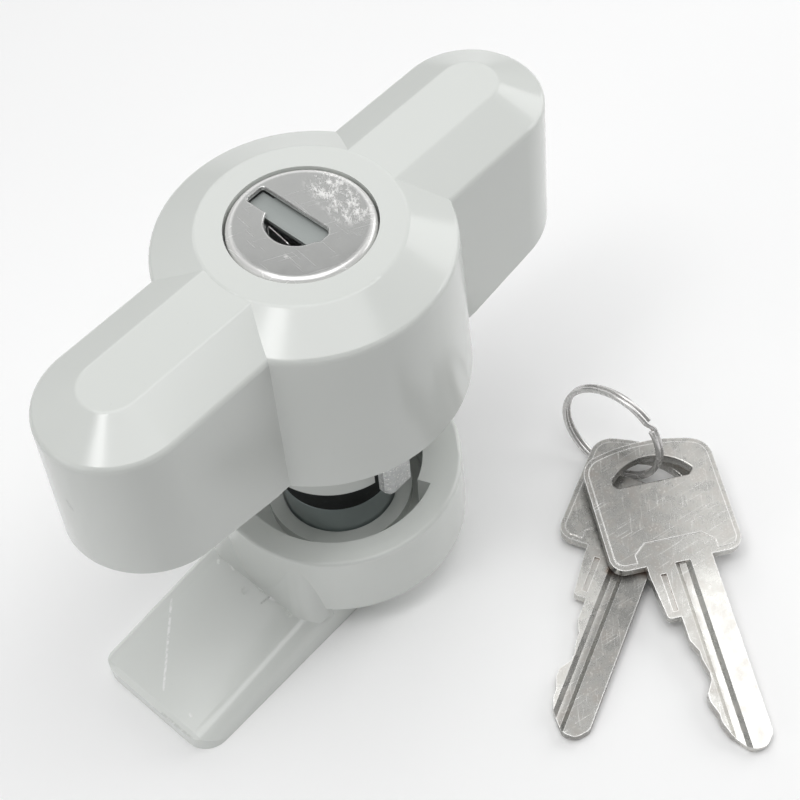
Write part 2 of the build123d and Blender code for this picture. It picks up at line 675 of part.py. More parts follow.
# Lever: the arm, the root under the cup, and the cup with its stop
with BuildPart() as lever:
    add(lever_arm.part)
    block((-lever_root, 0), (-lever_half_width, lever_half_width), (lever_foot, cup_foot))
    disc(lever_half_width, lever_foot, cup_foot)
    with BuildSketch(Plane.XZ) as cup_profile:
        with BuildLine():
            Polyline((0, cup_foot), (cup_foot_radius, cup_foot), (cup_radius, cup_rim), (0, cup_rim),
                     close=True)
        make_face()
        fillet([corner for corner in cup_profile.vertices().group_by(Axis.Y)[-1] if corner.X > 1], cup_round)
    revolve(axis=Axis.Z)
    for height, lean in ((cup_foot - cup_flat_sink, 0), (cup_rim - cup_flat_drop, cup_flat_lean)):
        with BuildSketch(Plane.XY.offset(height)) as cup_flat:
            Rectangle(cup_flat_reach - lean, 2 * (cup_flat_half_width - lean),
                      align=(Align.MAX, Align.CENTER))
            fillet(cup_flat.vertices().group_by(Axis.X)[0], cup_flat_corner)
    loft(ruled=True)
    turned([(0, hub_foot - seat_gap), (hub_hole_radius, hub_foot - seat_gap), (hub_hole_radius, cup_floor),
            (cup_collar_radius, cup_floor), (cup_collar_radius, cup_moat_floor),
            (cup_bore_radius - cup_draft, cup_moat_floor), (cup_bore_radius, cup_rim), (0, cup_rim)],
           mode=Mode.SUBTRACT)
    stop_across = Vector(1, 0, 0).rotate(Axis.Z, stop_start)
    with BuildSketch(Plane(origin=(0, 0, 0), x_dir=stop_across, z_dir=stop_across.cross(Vector(0, 0, 1)))):
        with Locations((stop_radius, cup_moat_floor)):
            Rectangle(cup_bore_radius - stop_radius + cup_round, cup_rim - cup_moat_floor, align=Align.MIN)
    revolve(axis=Axis.Z, revolution_arc=stop_sweep)
    square(shaft_foot_square / 2 + running_gap, web_top, cup_floor, mode=Mode.SUBTRACT)
    disc(lever_screw_radius + seat_gap, lever_foot, shaft_foot, mode=Mode.SUBTRACT)
    disc(screw_well_radius, lever_foot, well_top, mode=Mode.SUBTRACT)
    row_length = lever_reach - screw_well_radius - 2 * pocket_wall
    pocket_length = (row_length - (pockets_per_row - 1) * pocket_wall) / pockets_per_row
    pocket_width = lever_half_width - 1.5 * pocket_wall
    with BuildSketch(Plane.XY.offset(lever_foot)):
        row_middle = -screw_well_radius - pocket_wall - row_length / 2
        with Locations((row_middle, 0)):
            with GridLocations(pocket_length + pocket_wall, pocket_width + pocket_wall, pockets_per_row, 2):
                RectangleRounded(pocket_length, pocket_width, pocket_corner)
    extrude(amount=pocket_depth, mode=Mode.SUBTRACT)
export(lever, "lever")

# Washer, spring washer and screw that hold the lever on the shaft
washer_top = well_top - seat_gap
spring_top = washer_top - washer_thickness - seat_gap
screw_seat = spring_top - spring_washer_thickness - seat_gap
with BuildPart() as lever_washer:
    with BuildSketch(Plane.XY.offset(washer_top)):
        Circle(washer_radius)
        Circle(lever_screw_radius + seat_gap, mode=Mode.SUBTRACT)
    extrude(amount=-washer_thickness)
export(lever_washer, "lever_washer")

with BuildPart() as lever_spring_washer:
    with BuildSketch(Plane.XY.offset(spring_top)):
        Circle(spring_washer_radius)
        Circle(lever_screw_radius + seat_gap, mode=Mode.SUBTRACT)
        Rectangle(2 * spring_washer_radius, spring_washer_split, align=(Align.MIN, Align.CENTER),
                  mode=Mode.SUBTRACT)
    extrude(amount=-spring_washer_thickness)
export(lever_spring_washer, "lever_spring_washer")

with BuildPart() as lever_screw:
    head_foot = screw_seat - lever_screw_head_height
    disc(lever_screw_head_radius, head_foot, screw_seat)
    chamfer(lever_screw.edges().group_by(Axis.Z)[0], lever_screw_head_height / 3)
    disc(lever_screw_radius, head_foot, screw_seat + lever_screw_length)
    with Locations((0, 0, head_foot)):
        cross_recess(lever_screw_radius, lever_screw_head_height)
export(lever_screw, "lever_screw")


def bow_outline(inset):
    """Outline of the key's bow, drawn in by an inset, in the sketch being built."""
    side = bow_length - bow_crown
    with BuildSketch(mode=Mode.PRIVATE) as outline:
        with BuildLine():
            Polyline((-side, bow_half_width), (0, bow_half_width), (0, -bow_half_width),
                     (-side, -bow_half_width))
            ThreePointArc((-side, -bow_half_width), (-bow_length, 0), (-side, bow_half_width))
        make_face()
        fillet(outline.vertices().group_by(Axis.X)[0], bow_top_corner)
        fillet(outline.vertices().group_by(Axis.X)[-1], bow_low_corner)
        if inset:
            offset(amount=-inset, mode=Mode.REPLACE)
    return outline.sketch


# Points of the blade's cut edge, from the shoulder to the tip
bitting = [(0, blade_inner_edge)]
for place, depth in enumerate(cut_depths):
    middle = first_cut + cut_pitch * place
    bitting.append((middle - cut_flat / 2, blade_inner_edge + depth))
    bitting.append((middle + cut_flat / 2, blade_inner_edge + depth))
bitting.append((blade_length - tip_slope_length, blade_inner_edge + tip_slope_start))
bitting.append((blade_length, blade_inner_edge + tip_slope_end))
blade_end = [(blade_length, neck_half_width - tip_chamfer_width),
             (blade_length - tip_chamfer, neck_half_width)]


def blade_outline():
    """Outline of the key's blade with its cuts and rounded tip, as a flat sketch."""
    with BuildSketch(mode=Mode.PRIVATE) as outline:
        with BuildLine():
            Polyline(*bitting, *blade_end, (-bow_rim, neck_half_width), (-bow_rim, blade_inner_edge),
                     close=True)
        make_face()
        round_start = blade_length - tip_slope_length + tip_round / 2
        fillet([corner for corner in outline.vertices() if corner.X > round_start], tip_round)
    return outline.sketch


tongue_inner_edge = tongue_width + tongue_taper - neck_half_width


def tongue_outline():
    """Outline of the tapered tongue beside the blade, and of the web between them, as a flat sketch."""
    with BuildSketch(mode=Mode.PRIVATE) as outline:
        with BuildLine():
            Polyline((-bow_rim, -neck_half_width), (neck_length, -neck_half_width),
                     (tongue_length, tongue_taper - neck_half_width), (tongue_length, 0), (-bow_rim, 0),
                     close=True)
        make_face()
        fillet(outline.vertices().group_by(Axis.X)[-1].sort_by(Axis.Y)[0], tongue_corner)
    return outline.sketch


# Key, drawn flat: X runs along the blade from the shoulder to the tip, Y across, Z up
with BuildPart() as flat_key:
    with BuildSketch(Plane.XY.offset(bow_relief)):
        add(bow_outline(0))
        add(blade_outline())
        add(tongue_outline())
    extrude(amount=key_thickness)
    with BuildSketch(Plane.XY.offset(bow_relief + key_thickness / 2)):
        with BuildLine():
            Polyline((neck_length, tongue_inner_edge - tongue_taper * neck_length / tongue_length),
                     (tongue_length - tongue_width, tongue_inner_edge),
                     (tongue_length - tongue_width, blade_inner_edge), (neck_length, blade_inner_edge),
                     close=True)
        make_face()
    extrude(amount=key_thickness, both=True, mode=Mode.SUBTRACT)
    block((neck_length - overlap, tongue_length - tongue_width),
          (tongue_inner_edge - tongue_taper, blade_inner_edge),
          (bow_relief + (key_thickness - tongue_web) / 2, bow_relief + (key_thickness + tongue_web) / 2))
    with BuildSketch():
        add(bow_outline(bow_rim))
        with BuildLine():
            Polyline((-bow_eave, bow_eave_half_width), (-bow_notch, bow_notch_half_width),
                     (-bow_notch, -bow_notch_half_width), (-bow_eave, -bow_eave_half_width),
                     (bow_rim, -bow_eave_half_width), (bow_rim, bow_eave_half_width), close=True)
        make_face(mode=Mode.SUBTRACT)
    extrude(amount=key_thickness + 2 * bow_relief)
    with BuildSketch() as eye:
        with BuildLine():
            ThreePointArc((-eye_side, -eye_half_width), (-eye_top, 0), (-eye_side, eye_half_width))
            Polyline((-eye_side, eye_half_width), (-eye_low, eye_half_width - eye_flare),
                     (-eye_low, eye_flare - eye_half_width), (-eye_side, -eye_half_width))
        make_face()
        fillet(eye.vertices(), eye_corner)
    extrude(amount=2 * key_thickness, mode=Mode.SUBTRACT)
    eye_edges = flat_key.edges().filter_by_position(Axis.X, -eye_top, -eye_low)
    eye_edges = eye_edges.filter_by_position(Axis.Y, -eye_half_width, eye_half_width)
    fillet([edge for edge in eye_edges if abs(edge.tangent_at(0.5).Z) < 0.5], eye_lip)
    groove_rows = ((upper_groove, key_thickness + bow_relief, -1), (lower_groove, bow_relief, 1))
    for across, face, into in groove_rows:
        with BuildSketch(Plane.YZ.offset(groove_start)):
            with BuildLine():
                Polyline((across - groove_width / 2, face), (across + groove_width / 2, face),
                         (across + groove_floor_width / 2, face + into * groove_depth),
                         (across - groove_floor_width / 2, face + into * groove_depth), close=True)
            make_face()
        extrude(amount=2 * blade_length, mode=Mode.SUBTRACT)


def lay_key(shoulder, heading, rise):
    """Place of a key whose shoulder is raised, and whose tip rests where the lever stands."""
    tilt = math.asin(rise / blade_length)
    height = lever_foot + rise - bow_relief * math.cos(tilt)
    return Pos(*shoulder, height) * Rot(0, 0, heading) * Rot(0, math.degrees(tilt), 0)


front_place = lay_key(front_shoulder, front_heading, front_rise)
with BuildPart() as key_front:
    add(front_place * flat_key.part)
export(key_front, "key_front")

rear_place = lay_key(rear_shoulder, rear_heading, rear_rise)
with BuildPart() as key_rear:
    add(rear_place * flat_key.part)
export(key_rear, "key_rear")

# Path of the ring's wire: a helix of quarter turns, each made of two arcs
climb = ring_pitch / (2 * math.pi)
knots = []
for step in range(4 * ring_turns + 1):
    angle = math.pi / 2 * step
    place = Vector(ring_radius * math.cos(angle), ring_radius * math.sin(angle),
                   climb * (angle - math.pi * ring_turns))
    heading = Vector(-ring_radius * math.sin(angle), ring_radius * math.cos(angle), climb).normalized()
    knots.append((place, heading))
ring_edges = []
for (start, leave), (end, arrive) in zip(knots, knots[1:]):
    chord = end - start
    along = chord.dot(leave + arrive)
    spread = 2 * (1 - leave.dot(arrive))
    reach = (math.sqrt(along**2 + spread * chord.dot(chord)) - along) / spread
    meet = (start + leave * reach + end - arrive * reach) * 0.5
    across = ((end - arrive * reach) - (start + leave * reach)).normalized()
    ring_edges.append(Edge.make_tangent_arc(start, leave, meet))
    ring_edges.append(Edge.make_tangent_arc(meet, across, end))
ring_path = Wire(ring_edges)

# Least distance between turns, measured on points along the wire
samples = [ring_path.position_at(step / 400) for step in range(401)]
turn_gap = min((samples[late] - samples[early]).length for early in range(401)
               for late in range(early + 100, 401)) - 2 * ring_wire_radius
print("key ring: least gap between turns", round(turn_gap, 2), "mm")

# Key ring: sprung wire in two turns, standing on edge through both bows
ring_centre = (*ring_centre_xy, lever_foot + ring_radius + ring_wire_radius + seat_gap)
ring_place = Pos(*ring_centre) * Rot(0, 0, ring_heading) * Rot(0, 90 - ring_lean, 0)
with BuildPart() as flat_ring:
    with BuildSketch(Plane(ring_path.position_at(0), z_dir=ring_path.tangent_at(0))):
        Circle(ring_wire_radius)
    sweep(path=ring_path)
with BuildPart() as key_ring:
    add(ring_place * flat_ring.part)
export(key_ring, "key_ring")
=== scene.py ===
"""Enclosure key lock: finishes, finer pieces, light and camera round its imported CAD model."""

import math

import bmesh
import bpy
from bpy.props import FloatProperty, FloatVectorProperty, IntProperty, PointerProperty
from bpy.types import Operator, Panel, PropertyGroup
from mathutils import Matrix, Vector


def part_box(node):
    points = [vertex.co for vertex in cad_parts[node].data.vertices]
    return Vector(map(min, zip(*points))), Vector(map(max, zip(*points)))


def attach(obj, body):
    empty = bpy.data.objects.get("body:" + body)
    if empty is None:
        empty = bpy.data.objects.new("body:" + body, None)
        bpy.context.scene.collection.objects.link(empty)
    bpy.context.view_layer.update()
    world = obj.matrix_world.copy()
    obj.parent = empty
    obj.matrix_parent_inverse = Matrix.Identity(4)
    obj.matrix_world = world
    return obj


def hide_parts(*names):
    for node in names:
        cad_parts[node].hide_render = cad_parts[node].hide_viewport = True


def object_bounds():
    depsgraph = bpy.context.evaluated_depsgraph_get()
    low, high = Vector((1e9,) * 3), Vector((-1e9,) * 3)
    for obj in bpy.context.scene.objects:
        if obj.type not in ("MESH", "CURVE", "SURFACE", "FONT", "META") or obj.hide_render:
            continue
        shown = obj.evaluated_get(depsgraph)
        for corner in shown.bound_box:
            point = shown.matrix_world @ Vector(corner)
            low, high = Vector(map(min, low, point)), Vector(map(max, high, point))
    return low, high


bl_info = {
    "name": "Enclosure key lock",
    "version": (1, 0, 0),
    "blender": (4, 5, 0),
    "location": "View3D > Sidebar > Key lock",
    "description": "Builds the finishes, the finer pieces and the studio of a wing-handle enclosure lock",
    "category": "Object",
}

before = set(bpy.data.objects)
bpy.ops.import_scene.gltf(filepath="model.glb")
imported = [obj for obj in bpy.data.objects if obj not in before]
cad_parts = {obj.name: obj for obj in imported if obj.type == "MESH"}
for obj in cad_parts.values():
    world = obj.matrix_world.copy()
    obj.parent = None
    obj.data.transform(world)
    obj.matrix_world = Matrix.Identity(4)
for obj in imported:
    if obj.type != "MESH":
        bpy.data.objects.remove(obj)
cad_low, cad_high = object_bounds()

MM = 0.001

# Marks on the plastic in millimetres: start, end, width, and shade, above 1 where a mark is lighter
HANDLE_MARKS = (
    ((-51.5, -0.6, 18.9), (-51.5, -1.1, 17.2), 0.7, 0.78),
)
LEVER_MARKS = (
    ((-34.5, 10.8, -45.4), (-47.5, -0.4, -47.0), 0.34, 1.4),
    ((-23.7, 9.3, -44.0), (-24.1, 8.9, -44.0), 0.4, 1.3),
    ((-22.5, 8.5, -43.8), (-23.2, 5.8, -43.9), 0.45, 1.3),
    ((-25.0, 1.8, -44.1), (-25.4, 1.0, -44.2), 0.5, 1.12),
    ((-22.9, 0.5, -43.9), (-23.2, -1.7, -43.9), 0.4, 1.25),
    ((-23.0, -3.6, -43.9), (-22.7, -4.8, -43.9), 0.7, 1.45),
    ((-24.9, -3.0, -44.1), (-23.2, -3.3, -43.9), 0.3, 0.75),
    ((-23.2, -8.1, -43.9), (-23.4, -8.7, -43.9), 0.8, 1.15),
    # Painted highlight: a small glint on the lever's top
    ((-47.8, -7.4, -47.0), (-47.9, -7.8, -47.0), 0.4, 1.5),
    ((-50.9, 2.1, -47.5), (-50.8, -0.8, -47.5), 0.6, 1.35),
    ((-50.6, -3.0, -48.3), (-50.4, -10.4, -48.3), 0.4, 0.8),
)

# Marks on the metals in millimetres: start, end and width
CAP_SCUFF = ((8.2, 2.6, 33.3), (6.7, -4.0, 33.3), 4.2)
CAP_DOT = ((-6.3, -3.0, 33.3), (-6.3, -3.0, 33.3), 0.45)
# Painted shade: brown where the two keys touch
KEY_SHADE_MARKS = (
    ((22.4, -45.7, -48.2), (26.9, -51.1, -48.2), 1.3),
    ((48.3, -41.5, -47.8), (48.8, -43.5, -47.8), 1.2),
)

# Keys: node, material, shoulder in millimetres, heading in degrees, lightness of the bow and of the blade,
# left and right, which paints the reflections on them
KEYS = (
    ("key_front", "front_key_nickel", (30.92, -54.59, 0.0), -126.6, (0.5, 0.95), (0.85, 1.3)),
    ("key_rear", "rear_key_nickel", (26.2, -44.99, 0.0), -161.6, (0.8, 0.8), (1.1, 0.55)),
)

# Lamps in metres and watts: name, place, width, depth and power
LAMPS = (
    ("lamp_above", (-0.05, -0.03, 0.66), 0.62, 0.62, 2.8),
    ("lamp_wide", (0.10, 0.12, 0.62), 1.3, 1.3, 1.7),
    ("lamp_strip", (-0.265, 0.02, 0.62), 0.09, 0.20, 0.34),
    ("lamp_right", (0.60, -0.22, 0.24), 0.5, 0.5, 1.9),
    ("lamp_left", (-0.62, 0.12, 0.20), 0.45, 0.45, 0.85),
    ("lamp_back", (0.62, 0.72, 0.50), 0.9, 0.9, 1.8),
)
SKY_COLOUR = (0.97, 0.985, 1.0, 1.0)

# Floor in metres: half of its width, and how far it lies below the lowest piece
FLOOR_HALF_WIDTH = 1.5
FLOOR_GAP = 0.02 * MM

# Wound wires: how finely they are cut up, and how round the ring's wire is, where less than 1 is squarer
RING_STEPS = 280
RING_SIDES = 16
RING_ROUNDNESS = 0.8
COIL_STEPS_PER_TURN = 14
COIL_SIDES = 6

# Share of a coil's rise that is drawn towards its two closed ends
COIL_CLOSED_SHARE = 0.4

# How a wire's cut end is drawn in: shares of its depth, each with the scale of the wire there
WIRE_END = ((0.55, 0.93), (0.9, 0.72), (1.0, 0.4))

# Numbers of the Mix node's sockets for colours: its two inputs and its output
MIX_FIRST = 6
MIX_SECOND = 7
MIX_RESULT = 2


class Socket:
    """An output of a node. Arithmetic on it adds Math nodes to its material."""

    def __init__(self, surface, output):
        self.surface = surface
        self.output = output

    def maths(self, operation, *values):
        """Add one Math node that works on these values."""
        return self.surface.node("ShaderNodeMath", {"operation": operation}, dict(enumerate(values)))

    def __add__(self, other):
        return self.maths("ADD", self, other)

    __radd__ = __add__

    def __sub__(self, other):
        return self.maths("SUBTRACT", self, other)

    def __rsub__(self, other):
        return self.maths("SUBTRACT", other, self)

    def __mul__(self, other):
        return self.maths("MULTIPLY", self, other)

    __rmul__ = __mul__

    def limited(self):
        """The value kept between 0 and 1."""
        floored = self.maths("MAXIMUM", self, 0.0)
        return self.maths("MINIMUM", floored, 1.0)

    def rise(self, low, high):
        """0 below low and 1 above high, with a smooth step between them."""
        return self.surface.node(
            "ShaderNodeMapRange",
            {"interpolation_type": "SMOOTHSTEP"},
            {"Value": self, "From Min": low, "From Max": high},
        )


class Surface:
    """A material being built round its Principled shader, with patterns measured in millimetres."""

    def __init__(self, name):
        self.material = bpy.data.materials.new(name)
        self.material.use_nodes = True
        self.tree = self.material.node_tree
        self.shader = self.tree.nodes["Principled BSDF"]
        self.place = self.node("ShaderNodeTexCoord", output="Object")

    def node(self, kind, settings=None, sockets=None, output=0):
        """Add a node: its settings first, then the values or links of its sockets."""
        made = self.tree.nodes.new(kind)
        for name, value in (settings or {}).items():
            setattr(made, name, value)
        for name, value in (sockets or {}).items():
            self.feed(made.inputs[name], value)
        return Socket(self, made.outputs[output])

    def vector(self, operation, *values, output=0):
        """Add one Vector Math node that works on these values."""
        return self.node("ShaderNodeVectorMath", {"operation": operation}, dict(enumerate(values)), output)

    def feed(self, socket, value):
        """Set a socket to a plain value, or link it."""
        if isinstance(value, Socket):
            self.tree.links.new(value.output, socket)
        else:
            socket.default_value = value

    def scaled(self, size, stretch=(1.0, 1.0, 1.0), turn=(0.0, 0.0, 0.0)):
        """Object coordinates counted in grains of a size in millimetres, turned first."""
        turned = self.place
        if any(turn):
            turned = self.node("ShaderNodeVectorRotate", {"rotation_type": "EULER_XYZ"},
                               {"Vector": self.place, "Rotation": turn})
        factors = tuple(1 / (MM * size * length) for length in stretch)
        return self.vector("MULTIPLY", turned, factors)

    def noise(self, size, detail=2.0, roughness=0.5, stretch=(1.0, 1.0, 1.0), turn=(0.0, 0.0, 0.0)):
        """Soft noise from 0 to 1."""
        place = self.scaled(size, stretch, turn)
        sockets = {"Vector": place, "Scale": 1.0, "Detail": detail, "Roughness": roughness}
        return self.node("ShaderNodeTexNoise", {}, sockets)

    def grains(self, size):
        """Distance from the middle of the nearest grain: 0 in its middle, about 1 between grains."""
        sockets = {"Vector": self.scaled(size), "Scale": 1.0}
        return self.node("ShaderNodeTexVoronoi", {}, sockets, "Distance")

    def scratches(self, spacing, length, angle, width):
        """Thin straight scratches at an angle in the XY plane: 1 on a scratch, 0 beside it."""
        aspect = length / spacing
        streaks = self.noise(spacing, 0.0, 0.5, (aspect, 1.0, aspect), (0.0, 0.0, angle))
        return streaks.rise(1 - width, 1 - width + 0.04)

    def near(self, start, end, width):
        """1 on a segment between two points in millimetres, fading to 0 at a width from it."""
        first = Vector(start) * MM
        span = Vector(end) * MM - first
        away = self.vector("SUBTRACT", self.place, first)
        if span.length > 0:
            share = self.vector("DOT_PRODUCT", away, span / span.length_squared, output="Value").limited()
            nearest = self.node("ShaderNodeVectorMath", {"operation": "SCALE"}, {0: span, "Scale": share})
            away = self.vector("SUBTRACT", away, nearest)
        length = self.vector("LENGTH", away, output="Value")
        return 1 - length.rise(0.3 * width * MM, width * MM)

    def along(self, start, heading):
        """Metres from a point in millimetres along a heading in the XY plane, given in degrees."""
        angle = math.radians(heading)
        away = self.vector("SUBTRACT", self.place, Vector(start) * MM)
        return self.vector("DOT_PRODUCT", away, (math.cos(angle), math.sin(angle), 0.0), output="Value")

    def tint(self, first, second, share):
        """Blend two colours, or sockets of colour, by a share from 0 to 1."""
        sockets = {"Factor": share, MIX_FIRST: first, MIX_SECOND: second}
        return self.node("ShaderNodeMix", {"data_type": "RGBA"}, sockets, MIX_RESULT)

    def lit_and_worn_edges(self, radius, sharp=0.8, flat=0.995):
        """1 along edges, 0 a radius in millimetres away. Sharp and flat are cosines of the bend there."""
        rounded = self.node("ShaderNodeBevel", {"samples": 6}, {"Radius": radius * MM})
        true = self.node("ShaderNodeNewGeometry", output="Normal")
        return 1 - self.vector("DOT_PRODUCT", rounded, true, output="Value").rise(sharp, flat)

    def crevice_shade(self, radius):
        """1 deep in a gap narrower than a radius in millimetres, 0 in the open."""
        sockets = {"Distance": radius * MM}
        open_share = self.node("ShaderNodeAmbientOcclusion", {"samples": 6}, sockets, "AO")
        return 1 - open_share

    def bump(self, height, depth):
        """Feed the shader's normal from a height pattern whose full swing is a depth in millimetres."""
        sockets = {"Height": height, "Distance": depth * MM, "Strength": 1.0}
        pushed = self.node("ShaderNodeBump", {}, sockets)
        self.feed(self.shader.inputs["Normal"], pushed)

    def finish(self, **sockets):
        """Set the shader's sockets, named with underscores for spaces, and hand back the material."""
        for name, value in sockets.items():
            self.feed(self.shader.inputs[name.replace("_", " ")], value)
        return self.material


def opaque(colour, factor=1.0):
    """A colour scaled by a factor, with full alpha."""
    return tuple(min(1.0, channel * factor) for channel in colour[:3]) + (1.0,)


def paint(material, *names):
    """Give CAD nodes one material."""
    for name in names:
        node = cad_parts[name]
        node.data.materials.clear()
        node.data.materials.append(material)


def show_smooth(piece, angle=35.0):
    """Shade a piece smoothly except across its sharp edges."""
    piece.data.shade_smooth()
    piece.data.set_sharp_from_angle(angle=math.radians(angle))


def mesh_piece(name, shell, material, body, slot, *stands_for):
    """Turn a bmesh into a piece that rides a body and stands for CAD nodes."""
    bmesh.ops.recalc_face_normals(shell, faces=shell.faces)
    mesh = bpy.data.meshes.new(name)
    shell.to_mesh(mesh)
    shell.free()
    mesh.materials.append(material)
    piece = bpy.data.objects.new(name, mesh)
    bpy.context.scene.collection.objects.link(piece)
    show_smooth(piece, 50.0)
    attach(piece, body)
    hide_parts(*stands_for)
    return piece


def wind(shell, place, steps, half_radial, half_axial, sides, roundness=1.0):
    """Add a wire wound about a place's Z axis. Each step is an angle, a radius, a height and a scale."""
    rings = []
    for angle, radius, height, scale in steps:
        ring = []
        for side in range(sides):
            turn = 2 * math.pi * side / sides
            across = (math.cos(turn), math.sin(turn))
            out, up = (math.copysign(abs(part) ** roundness, part) for part in across)
            reach = radius + half_radial * scale * out
            rise = height + half_axial * scale * up
            point = Vector((reach * math.cos(angle), reach * math.sin(angle), rise))
            ring.append(shell.verts.new(place @ point))
        rings.append(ring)
    for first, second in zip(rings, rings[1:]):
        for side in range(sides):
            after = (side + 1) % sides
            shell.faces.new((first[side], first[after], second[after], second[side]))
    shell.faces.new(rings[0])
    shell.faces.new(rings[-1])


class LOCK_PG_plastic(PropertyGroup):
    """Moulded plastics."""

    shell_colour: FloatVectorProperty(
        name="Shell colour", description="Light plastic of the handle, the neck and the lever",
        subtype="COLOR", default=(0.67, 0.69, 0.665), min=0, max=1)
    hub_colour: FloatVectorProperty(
        name="Hub colour", description="Grey plastic of the drive shaft",
        subtype="COLOR", default=(0.35, 0.40, 0.40), min=0, max=1)
    bush_colour: FloatVectorProperty(
        name="Bush colour", description="Black rubber of the bush",
        subtype="COLOR", default=(0.012, 0.014, 0.014), min=0, max=1)
    shell_roughness: FloatProperty(
        name="Shell roughness", description="Roughness of the light plastic",
        subtype="FACTOR", default=0.13, min=0, max=1)


class LOCK_PG_metal(PropertyGroup):
    """Metals."""

    cap_colour: FloatVectorProperty(
        name="Cap colour", description="Polished steel of the cap, away from its edges",
        subtype="COLOR", default=(0.45, 0.455, 0.445), min=0, max=1)
    steel_colour: FloatVectorProperty(
        name="Steel colour", description="Bright steel of the fastenings and the ring",
        subtype="COLOR", default=(0.70, 0.69, 0.68), min=0, max=1)
    shutter_colour: FloatVectorProperty(
        name="Shutter colour", description="Grey steel of the dust shutter",
        subtype="COLOR", default=(0.36, 0.385, 0.375), min=0, max=1)
    cast_colour: FloatVectorProperty(
        name="Casting colour", description="Cast zinc of the core, the barrel and the pawl",
        subtype="COLOR", default=(0.66, 0.67, 0.67), min=0, max=1)
    key_colour: FloatVectorProperty(
        name="Key colour", description="Nickel plate of the keys",
        subtype="COLOR", default=(0.56, 0.555, 0.53), min=0, max=1)
    # Used for painted highlights on edges, the cap's rim and the grains of the castings, and for scuffs and
    # scratches rubbed bright
    highlight_and_rubbed_colour: FloatVectorProperty(
        name="Edge colour", description="Edges and scuffs that are rubbed bright",
        subtype="COLOR", default=(0.96, 0.955, 0.94), min=0, max=1)
    # Used for painted shade in crevices and where the keys touch, and for the keys' tarnish
    tarnish_and_shade_colour: FloatVectorProperty(
        name="Stain colour", description="Brown shade where the keys touch",
        subtype="COLOR", default=(0.30, 0.20, 0.14), min=0, max=1)
    brass_colour: FloatVectorProperty(
        name="Brass colour", description="Brass of the wafers",
        subtype="COLOR", default=(0.62, 0.45, 0.19), min=0, max=1)


class LOCK_PG_wire(PropertyGroup):
    """Pieces bent from wire."""

    ring_radius: FloatProperty(
        name="Ring radius", description="Radius of the split ring at the wire's middle",
        unit="LENGTH", default=10.38 * MM)
    ring_thickness: FloatProperty(
        name="Ring thickness", description="Thickness of the ring's wire outwards from its middle",
        unit="LENGTH", default=1.1 * MM)
    ring_width: FloatProperty(
        name="Ring width", description="Width of one turn of the ring's wire",
        unit="LENGTH", default=0.85 * MM)
    ring_gap: FloatProperty(
        name="Ring gap", description="Gap between the ring's two turns",
        unit="LENGTH", default=0.05 * MM)
    ring_end: FloatProperty(
        name="Ring end", description="Where round the ring its wire starts",
        unit="ROTATION", default=math.radians(129))
    ring_shift: FloatProperty(
        name="Ring shift", description="Angle over which the wire goes from one turn to the other",
        unit="ROTATION", default=math.radians(12))
    ring_heading: FloatProperty(
        name="Ring heading", description="How the ring is turned about Z",
        unit="ROTATION", default=math.radians(-176.5))
    ring_lean: FloatProperty(
        name="Ring lean", description="How far the ring leans from upright",
        unit="ROTATION", default=math.radians(4.7))
    spring_wire: FloatProperty(
        name="Spring wire", description="Radius of the wafer springs' wire",
        unit="LENGTH", default=0.08 * MM)
    spring_turns: IntProperty(
        name="Spring turns", description="Turns of one wafer spring", default=8, min=3, max=20)


class LOCK_PG_studio(PropertyGroup):
    """Camera, light and floor."""

    camera_place: FloatVectorProperty(
        name="Camera place", description="Where the camera stands",
        subtype="TRANSLATION", unit="LENGTH", default=(-0.10605, -0.12594, 0.20952))
    camera_turn: FloatVectorProperty(
        name="Camera turn", description="How the camera is turned about X, Y and Z",
        subtype="EULER", unit="ROTATION",
        default=(math.radians(36.303), math.radians(2.999), math.radians(-48.478)))
    lens: FloatProperty(
        name="Lens", description="Focal length of the camera",
        unit="CAMERA", default=72.5, min=10)
    floor_colour: FloatVectorProperty(
        name="Floor colour", description="Colour of the floor",
        subtype="COLOR", default=(0.98, 0.98, 0.98), min=0, max=1)
    lamp_share: FloatProperty(
        name="Lamp share", description="Strength of all lamps together",
        subtype="FACTOR", default=1.0, min=0)
    sky: FloatProperty(
        name="Sky", description="Strength of the even light from all round",
        subtype="FACTOR", default=0.06, min=0)


class LOCK_PG_look(PropertyGroup):
    """Everything that a user would change."""

    plastic: PointerProperty(type=LOCK_PG_plastic, name="Plastic", description="Moulded plastics")
    metal: PointerProperty(type=LOCK_PG_metal, name="Metal", description="Metals")
    wire: PointerProperty(type=LOCK_PG_wire, name="Wire", description="Pieces bent from wire")
    studio: PointerProperty(type=LOCK_PG_studio, name="Studio", description="Camera, light and floor")


class LOCK_OT_studio(Operator):
    """Lay the floor, hang the lamps and set up the camera"""

    bl_idname = "lock.studio"
    bl_label = "Studio"

    def execute(self, context):
        studio = context.scene.lock_look.studio
        lay_floor(studio)
        for name, place, width, depth, power in LAMPS:
            hang_lamp(name, Vector(place), width, depth, power * studio.lamp_share)
        set_sky(context, studio)
        camera = bpy.data.cameras.new("camera")
        camera.lens = studio.lens
        camera.sensor_width = 36.0
        camera.clip_start = 0.01
        camera.clip_end = 10.0
        holder = bpy.data.objects.new("camera", camera)
        holder.location = studio.camera_place
        holder.rotation_euler = studio.camera_turn
        context.scene.collection.objects.link(holder)
        context.scene.camera = holder
        context.scene.view_settings.view_transform = "Standard"
        return {"FINISHED"}


